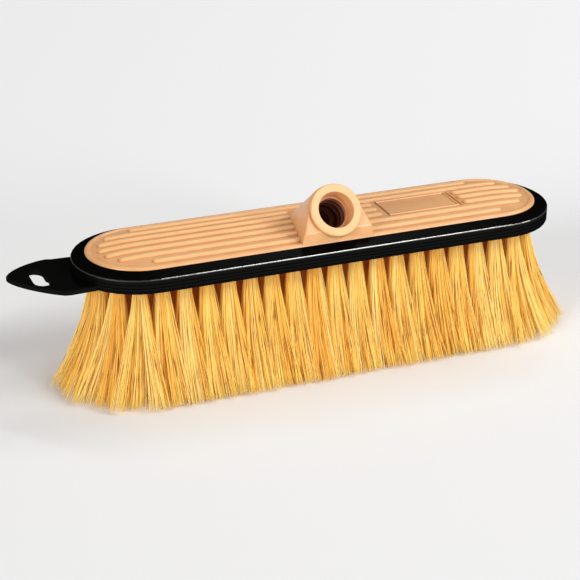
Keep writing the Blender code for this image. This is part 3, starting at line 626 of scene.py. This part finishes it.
def bristle_mesh(name, paths, tints, painted_shades):
    """Three-sided tapering tubes round many centre lines, as one mesh."""
    count = len(paths)
    radius = FILAMENT_RADIUS * (1.0 - FILAMENT_TAPER * STATION_SHARES**3)
    turn = np.arange(SIDES) * math.tau / SIDES
    spin = (np.arange(count) * SIDE_TURN)[:, None] + turn[None]
    ring = np.stack([np.cos(spin), np.sin(spin), np.zeros_like(spin)], axis=2)
    points = paths[:, :, None, :] + ring[:, None] * radius[None, :, None, None]
    points = points.reshape(-1, 3)
    # No side of a tube goes into the floor
    points[:, 2] = np.maximum(points[:, 2], 0.0)
    quads, top, tip = tube_faces(count)
    corners = np.concatenate([quads.ravel(), top.ravel(), tip.ravel()])
    sizes = np.concatenate([np.full(len(quads), 4), np.full(len(top) + len(tip), SIDES)])
    mesh = bpy.data.meshes.new(name)
    mesh.vertices.add(len(points))
    mesh.vertices.foreach_set("co", points.ravel())
    mesh.loops.add(len(corners))
    mesh.loops.foreach_set("vertex_index", corners)
    mesh.polygons.add(len(sizes))
    mesh.polygons.foreach_set("loop_start", np.concatenate([[0], np.cumsum(sizes)[:-1]]))
    mesh.polygons.foreach_set("loop_total", sizes)
    mesh.polygons.foreach_set("use_smooth", sizes == 4)
    mark(mesh, "tint", np.repeat(tints.ravel(), SIDES))
    mark(mesh, "painted_shade", np.repeat(painted_shades.ravel(), SIDES))
    mesh.update()
    mesh.validate()
    return mesh


def tuft_groups():
    """Each bristle node of the CAD with its tufts. The water outlet parts the middle row in two."""
    for row in range(-END_ROW, END_ROW + 1):
        node = f"tuft_row_{row + END_ROW + 1:02d}"
        tufts = row_tufts(row)
        if row:
            yield node, tufts
        else:
            yield f"{node}_front", [tuft for tuft in tufts if tuft[1] < 0]
            yield f"{node}_back", [tuft for tuft in tufts if tuft[1] > 0]


def make_bristles(surface):
    """Fine filaments for each bristle node, which take the place of its thick strands."""
    rng = np.random.default_rng(SEED)
    for node, tufts in tuft_groups():
        made = [filaments_of(*tuft, rng) for tuft in tufts]
        paths, tints, painted_shades = (np.concatenate(parts) for parts in zip(*made))
        paths[:, :, 0] += MIDDLE_X
        mesh = bristle_mesh(f"{node}_filaments", paths, tints, painted_shades)
        mesh.materials.append(surface)
        piece = add_object(f"{node}_filaments", mesh)
        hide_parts(node)
        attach(piece, "root")


def loft(sections, endless=False):
    """A closed solid through rings of equal length, with flat ends or joined end to end."""
    bm = bmesh.new()
    rings = [[bm.verts.new(point) for point in section] for section in sections]
    after = rings[1:] + rings[:1] if endless else rings[1:]
    for low, high in zip(rings, after):
        for i in range(len(low)):
            j = (i + 1) % len(low)
            bm.faces.new((low[i], low[j], high[j], high[i]))
    if not endless:
        bm.faces.new(list(reversed(rings[0])))
        bm.faces.new(rings[-1])
    return bm


def mesh_from(bm, name):
    """A mesh of a closed shape, with its faces turned outwards. The shape itself is freed."""
    bmesh.ops.recalc_face_normals(bm, faces=bm.faces)
    mesh = bpy.data.meshes.new(name)
    bm.to_mesh(mesh)
    bm.free()
    return mesh


def object_from(bm, name):
    return add_object(name, mesh_from(bm, name))


def round_edges(piece, width, angle):
    """Rounds each edge whose faces turn by more than an angle."""
    bevel = piece.modifiers.new("round", "BEVEL")
    bevel.width = width
    bevel.segments = EDGE_SEGMENTS
    bevel.limit_method = "ANGLE"
    bevel.angle_limit = angle


def apply_modifiers(piece):
    """Puts what a piece's modifiers make in place of its mesh."""
    graph = bpy.context.evaluated_depsgraph_get()
    mesh = bpy.data.meshes.new_from_object(piece.evaluated_get(graph))
    piece.modifiers.clear()
    piece.data = mesh


def turned(profile, steps, place):
    """A solid turned about its own Z axis from (radius, z) points, set in place by a matrix."""
    turns = [math.tau * step / steps for step in range(steps)]
    sections = []
    for radius, z in profile:
        sections.append([Vector((radius * math.cos(turn), radius * math.sin(turn), z)) for turn in turns])
    bm = loft(sections)
    bm.transform(place)
    return bm


def socket_matrix():
    """Puts a turned shape's Z axis on the socket's axis, its origin at the socket's face."""
    turn = Vector((0.0, 0.0, 1.0)).rotation_difference(SOCKET_AXIS)
    return Matrix.Translation(SOCKET_FACE) @ turn.to_matrix().to_4x4()


def stadium(radius, z):
    """A level ring round the spine: two half circles, joined by straight sides."""
    points = []
    for side in (1, -1):
        for step in range(END_STEPS + 1):
            angle = math.pi * (step / END_STEPS - side / 2)
            x = side * SPINE + radius * math.cos(angle)
            points.append(Vector((x, radius * math.sin(angle), z)))
    return points


def floor_height(distance):
    """Height of the block's crowned top face at a distance from the spine."""
    edge = BLOCK_RADIUS - RIM_WIDTH
    return BLOCK_FLOOR_Z + BLOCK_CROWN * (1 - min(distance / edge, 1.0) ** 2)


def block_body():
    """The block's body, with its side tongue, rounded rim and crowned floor."""
    tongue = BLOCK_RADIUS + TONGUE_REACH
    sections = [
        stadium(BLOCK_RADIUS, BLOCK_BOTTOM_Z),
        stadium(BLOCK_RADIUS, TONGUE_LOW_Z),
        stadium(tongue, TONGUE_LOW_Z),
        stadium(tongue, TONGUE_HIGH_Z),
        stadium(BLOCK_RADIUS, TONGUE_HIGH_Z),
    ]
    top = BLOCK_FLOOR_Z + RIM_RISE
    # The rim rounds up from the block's side, and down to the floor
    for step in range(RIM_STEPS + 1):
        turn = math.pi * (0.5 - step / RIM_STEPS * RIM_TURN_SHARE)
        across = 0.5 - 0.5 * math.sin(turn)
        low, rise = BLOCK_EDGE_Z, math.cos(turn)
        if turn <= 0:
            low, rise = BLOCK_FLOOR_Z, math.cos(turn / (2 * RIM_TURN_SHARE - 1))
        sections.append(stadium(BLOCK_RADIUS - RIM_WIDTH * across, low + (top - low) * rise))
    edge = BLOCK_RADIUS - RIM_WIDTH
    for step in range(1, CROWN_STEPS + 1):
        radius = edge * math.cos(math.pi / 2 * step / CROWN_STEPS_TO_MIDDLE)
        sections.append(stadium(radius, floor_height(radius)))
    return loft(sections)


def rib_half_length(y):
    """How far from the middle a rib ends, to stay clear of the rim."""
    shoulder = abs(y) + RIB_SHOULDER
    return SPINE + math.sqrt(max(RIB_END_RADIUS**2 - shoulder**2, 0.0))


def rib_shape(start, end, y):
    """One half-round rib with rounded ends, along X, lying on the crowned face."""
    half = RIB_WIDTH / 2
    stations = [(start + half * (1 - math.sin(math.radians(angle))), angle) for angle in RIB_END_ANGLES]
    between = np.linspace(start + half, end - half, max(3, int((end - start) / RIB_STATION)))[1:-1]
    stations += [(float(x), 0.0) for x in between]
    stations += [(start + end - x, angle) for x, angle in reversed(stations[: len(RIB_END_ANGLES)])]
    sections = []
    for x, angle in stations:
        size = math.cos(math.radians(angle))
        distance = math.hypot(max(abs(x) - SPINE, 0.0), y)
        floor = floor_height(distance)
        section = [Vector((x, y - half * size, floor - RIB_SINK))]
        height = RIB_HEIGHT * size**RIB_END_ROUNDNESS
        for step in range(RIB_SIDE_STEPS + 1):
            turn = math.pi * step / RIB_SIDE_STEPS
            rise = math.sin(turn) ** RIB_ROUNDNESS
            section.append(Vector((x, y - half * size * math.cos(turn), floor + height * rise)))
        section.append(Vector((x, y + half * size, floor - RIB_SINK)))
        sections.append(section)
    return loft(sections)


def rib_shapes():
    """All ribs, left out under the boss and across the panel."""
    shapes = []
    for index in range(RIB_COUNT):
        place = index - (RIB_COUNT - 1) / 2
        y = place * RIB_PITCH
        reach = rib_half_length(y)
        spans = [(-reach, -RIB_UNDER_BOSS_X)]
        # The three middle ribs stop at the panel, and those behind the boss run through
        if abs(place) <= 1:
            spans += [(RIB_UNDER_BOSS_X, PANEL_START), (PANEL_END, reach)]
        else:
            spans += [(RIB_UNDER_BOSS_X, reach)]
        if y > BOSS_BACK_Y + BOSS_BACK_RADIUS:
            spans = [(-reach, reach)]
        shapes += [rib_shape(start, end, y) for start, end in spans]
    return shapes


def line_shape(corners):
    """A low raised line with a rounded top through plan points, on the crowned face."""
    half = FRAME_LINE / 2
    closed = corners[0] == corners[-1]
    points = [Vector(corner) for corner in (corners[:-1] if closed else corners)]
    sections = []
    for i, point in enumerate(points):
        before = points[i - 1] if closed or i else point
        after = points[(i + 1) % len(points)] if closed or i + 1 < len(points) else point
        coming = (point - before).normalized() if point != before else (after - point).normalized()
        going = (after - point).normalized() if after != point else coming
        along = (coming + going).normalized()
        side = Vector((-along.y, along.x)) / max(along.dot(coming), MITRE_LEAST)
        section = []
        for across, rise in FRAME_SECTION_SHARES:
            place = point + side * half * across
            lift = FRAME_RISE * rise if rise > 0 else -RIB_SINK
            section.append(Vector((place.x, place.y, floor_height(abs(place.y)) + lift)))
        sections.append(section)
    return loft(sections, closed)


def panel_shapes():
    """The raised frame of the bare panel, and the bar beside it."""
    ys = [FRAME_HALF_WIDTH * (2 * step / FRAME_SIDE_STEPS - 1) for step in range(FRAME_SIDE_STEPS + 1)]
    border = [(FRAME_END, y) for y in ys] + [(FRAME_START, -y) for y in ys]
    bar = [(FRAME_BAR_START, y) for y in ys]
    return [line_shape(border + border[:1]), line_shape(bar)]


def boss_shape():
    """The drafted boss: the hull of its footprint on the block and of its sloping face."""
    front_y = -(BLOCK_RADIUS - BOSS_FRONT_GAP)
    base_z = BLOCK_EDGE_Z - BOSS_SINK
    bm = bmesh.new()
    for side in (1, -1):
        bm.verts.new((side * BOSS_BASE_HALF_WIDTH, front_y, base_z))
    face_centre = SOCKET_FACE - RING_PROUD * SOCKET_AXIS
    # The crease is where the sloping face meets the upright front
    drop = (face_centre.y - front_y) / UP_SLOPE.y
    crease = face_centre - drop * UP_SLOPE
    for side in (1, -1):
        bm.verts.new((side * BOSS_CREASE_HALF_WIDTH, crease.y, crease.z))
    for step in range(ROUND_STEPS):
        angle = math.tau * step / ROUND_STEPS
        sideways = Vector((math.cos(angle), 0.0, 0.0))
        if BOSS_FACE_RADIUS * math.sin(angle) > -drop:
            bm.verts.new(face_centre + BOSS_FACE_RADIUS * (sideways + math.sin(angle) * UP_SLOPE))
        around = Vector((math.cos(angle), math.sin(angle), 0.0))
        bm.verts.new(Vector((0.0, BOSS_BACK_Y, base_z)) + BOSS_BACK_RADIUS * around)
    hull = bmesh.ops.convex_hull(bm, input=bm.verts)
    loose = {item for item in hull["geom_interior"] if isinstance(item, bmesh.types.BMVert)}
    bmesh.ops.delete(bm, geom=list(loose), context="VERTS")
    bmesh.ops.dissolve_limit(bm, angle_limit=FLAT_ANGLE, verts=bm.verts, edges=bm.edges)
    return bm


def collar_shape():
    """The round collar that stands proud of the boss, with rounded edges."""
    profile = [(RING_RADIUS, -RING_LENGTH)]
    for step in range(RING_EDGE_STEPS + 1):
        turn = math.pi / 2 * step / RING_EDGE_STEPS
        inwards, down = RING_EDGE * (1 - math.cos(turn)), RING_EDGE * (1 - math.sin(turn))
        profile.append((RING_RADIUS - inwards, -down))
    return turned(profile, ROUND_STEPS, socket_matrix())


def bore_shape():
    """The socket's space: a plain entry with a rounded lip, then the threaded length."""
    profile = [(MOUTH_RADIUS + MOUTH_LIP, CUT_OVERRUN)]
    for step in range(LIP_STEPS + 1):
        turn = math.pi / 2 * step / LIP_STEPS
        outwards, down = MOUTH_LIP * (1 - math.sin(turn)), MOUTH_LIP * (1 - math.cos(turn))
        profile.append((MOUTH_RADIUS + outwards, -down))
    profile += [(MOUTH_RADIUS, -MOUTH_DEPTH), (BORE_RADIUS, -MOUTH_DEPTH - MOUTH_STEP)]
    levels = np.arange(MOUTH_DEPTH + THREAD_START, SOCKET_DEPTH, THREAD_PITCH / THREAD_STEPS)
    # The threaded rings have no single radius
    profile += [(None, -float(level) - THREAD_SHIFT) for level in levels]
    profile.append((None, -SOCKET_DEPTH))
    sections = []
    for radius, z in profile:
        section = []
        for step in range(ROUND_STEPS):
            turn = math.tau * step / ROUND_STEPS
            reach = radius
            if radius is None:
                phase = (-z / THREAD_PITCH - step / ROUND_STEPS) % 1.0
                aside = 2 * min(phase, 1 - phase)
                depth = min(max((aside - THREAD_CREST_SHARE) / THREAD_FLANK_SHARE, 0.0), 1.0)
                depth *= min((-z - MOUTH_DEPTH - THREAD_START) / THREAD_FADE, 1.0)
                reach = BORE_RADIUS + (THREAD_ROOT_RADIUS - BORE_RADIUS) * depth
            section.append(Vector((reach * math.cos(turn), reach * math.sin(turn), z)))
        sections.append(section)
    bm = loft(sections)
    bm.transform(socket_matrix())
    return bm


def mark_block(mesh):
    """Marks the depth in the socket and the thread's roots, for the painted shade there, and the painted
    highlight on the crests, for the material.
    """
    centre = SOCKET_FACE + Vector((MIDDLE_X, 0.0, 0.0))
    layers = {"socket_depth": [], "thread_root": [], "crest": []}
    for vert in mesh.vertices:
        from_face = vert.co - centre
        depth = -from_face.dot(SOCKET_AXIS)
        reach = (from_face + depth * SOCKET_AXIS).length
        inside = reach < MOUTH_RADIUS + TOUCH and depth > 0
        layers["socket_depth"].append(depth if inside else 0.0)
        root = (reach - BORE_RADIUS) / (THREAD_ROOT_RADIUS - BORE_RADIUS)
        layers["thread_root"].append(min(max(root, 0.0), 1.0))
        # The higher a point stands on a rib or the rim, the more painted highlight it gets
        from_end = max(abs(vert.co.x - MIDDLE_X) - SPINE, 0.0)
        rise = vert.co.z - floor_height(math.hypot(from_end, vert.co.y))
        highlight = max(rise / RIB_HEIGHT, 0.0) if rise < RIB_HEIGHT + 2 * TOUCH else 0.0
        on_collar = reach < RING_RADIUS + 2 * TOUCH and abs(depth) < RING_PROUD / 2
        layers["crest"].append(COLLAR_HIGHLIGHT if on_collar else highlight**2)
    for name, values in layers.items():
        mark(mesh, name, values)


def block_tools():
    """What is joined to the block's body or cut out of it, in order."""
    boss = object_from(boss_shape(), "boss_tool")
    round_edges(boss, BOSS_EDGE, BOSS_EDGE_ANGLE)
    water = -SOCKET_FACE.y / math.cos(SOCKET_TILT) + WATERWAY_PAST
    top = SOCKET_FACE.z + SOCKET_FACE.y * math.tan(SOCKET_TILT)
    waterway = [(WATERWAY_RADIUS, -SOCKET_DEPTH + WATERWAY_OVERLAP), (WATERWAY_RADIUS, -water)]
    outlet = [(WATERWAY_RADIUS, top), (WATERWAY_RADIUS, BLOCK_BOTTOM_Z - CUT_OVERRUN)]
    return [
        ("UNION", boss),
        ("UNION", object_from(collar_shape(), "collar_tool")),
        ("DIFFERENCE", object_from(bore_shape(), "bore_tool")),
        ("DIFFERENCE", object_from(turned(waterway, WATERWAY_STEPS, socket_matrix()), "waterway_tool")),
        ("DIFFERENCE", object_from(turned(outlet, WATERWAY_STEPS, Matrix.Identity(4)), "outlet_tool")),
    ]


def carve(body, tools):
    """Joins each tool to a body or cuts it out, and then removes the tools."""
    for operation, tool in tools:
        cut = body.modifiers.new(tool.name, "BOOLEAN")
        cut.operation = operation
        cut.solver = "EXACT"
        cut.object = tool
    apply_modifiers(body)
    for _, tool in tools:
        bpy.data.objects.remove(tool, do_unlink=True)


def make_block(surface):
    """The whole block with its finer forms, which takes the place of the CAD solid."""
    body = object_from(block_body(), "block_skin")
    carve(body, block_tools())
    mesh = body.data
    whole = bmesh.new()
    whole.from_mesh(mesh)
    for shape in rib_shapes() + panel_shapes():
        raised = mesh_from(shape, "raised")
        whole.from_mesh(raised)
        bpy.data.meshes.remove(raised)
    for vert in whole.verts:
        vert.co.x += MIDDLE_X
    whole.to_mesh(mesh)
    whole.free()
    mesh.shade_smooth()
    mesh.set_sharp_from_angle(angle=SHARP_ANGLE)
    mark_block(mesh)
    mesh.materials.clear()
    mesh.materials.append(surface)
    # Flat faces stay flat, and only the rounded edges between them turn the light
    body.modifiers.new("even", "WEIGHTED_NORMAL").keep_sharp = True
    apply_modifiers(body)
    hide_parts("block")
    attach(body, "root")


def make_bumper(surface):
    """The CAD bumper with its edges softened, which takes its place."""
    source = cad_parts["bumper"]
    skin = add_object("bumper_skin", source.data.copy())
    skin.matrix_world = source.matrix_world.copy()
    round_edges(skin, BUMPER_EDGE, SHARP_ANGLE)
    apply_modifiers(skin)
    mesh = skin.data
    mesh.shade_smooth()
    mesh.materials.clear()
    mesh.materials.append(surface)
    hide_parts("bumper")
    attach(skin, "root")


def dress(node, surface):
    """Gives a kept CAD node a finished material."""
    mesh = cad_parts[node].data
    if not mesh.materials:
        mesh.materials.append(surface)
    for index in range(len(mesh.materials)):
        mesh.materials[index] = surface


make_camera()
make_lights()
make_floor()
make_block(tan_plastic())
make_bumper(black_vinyl())
dress("seal_washer", rubber())
make_bristles(golden_bristle())
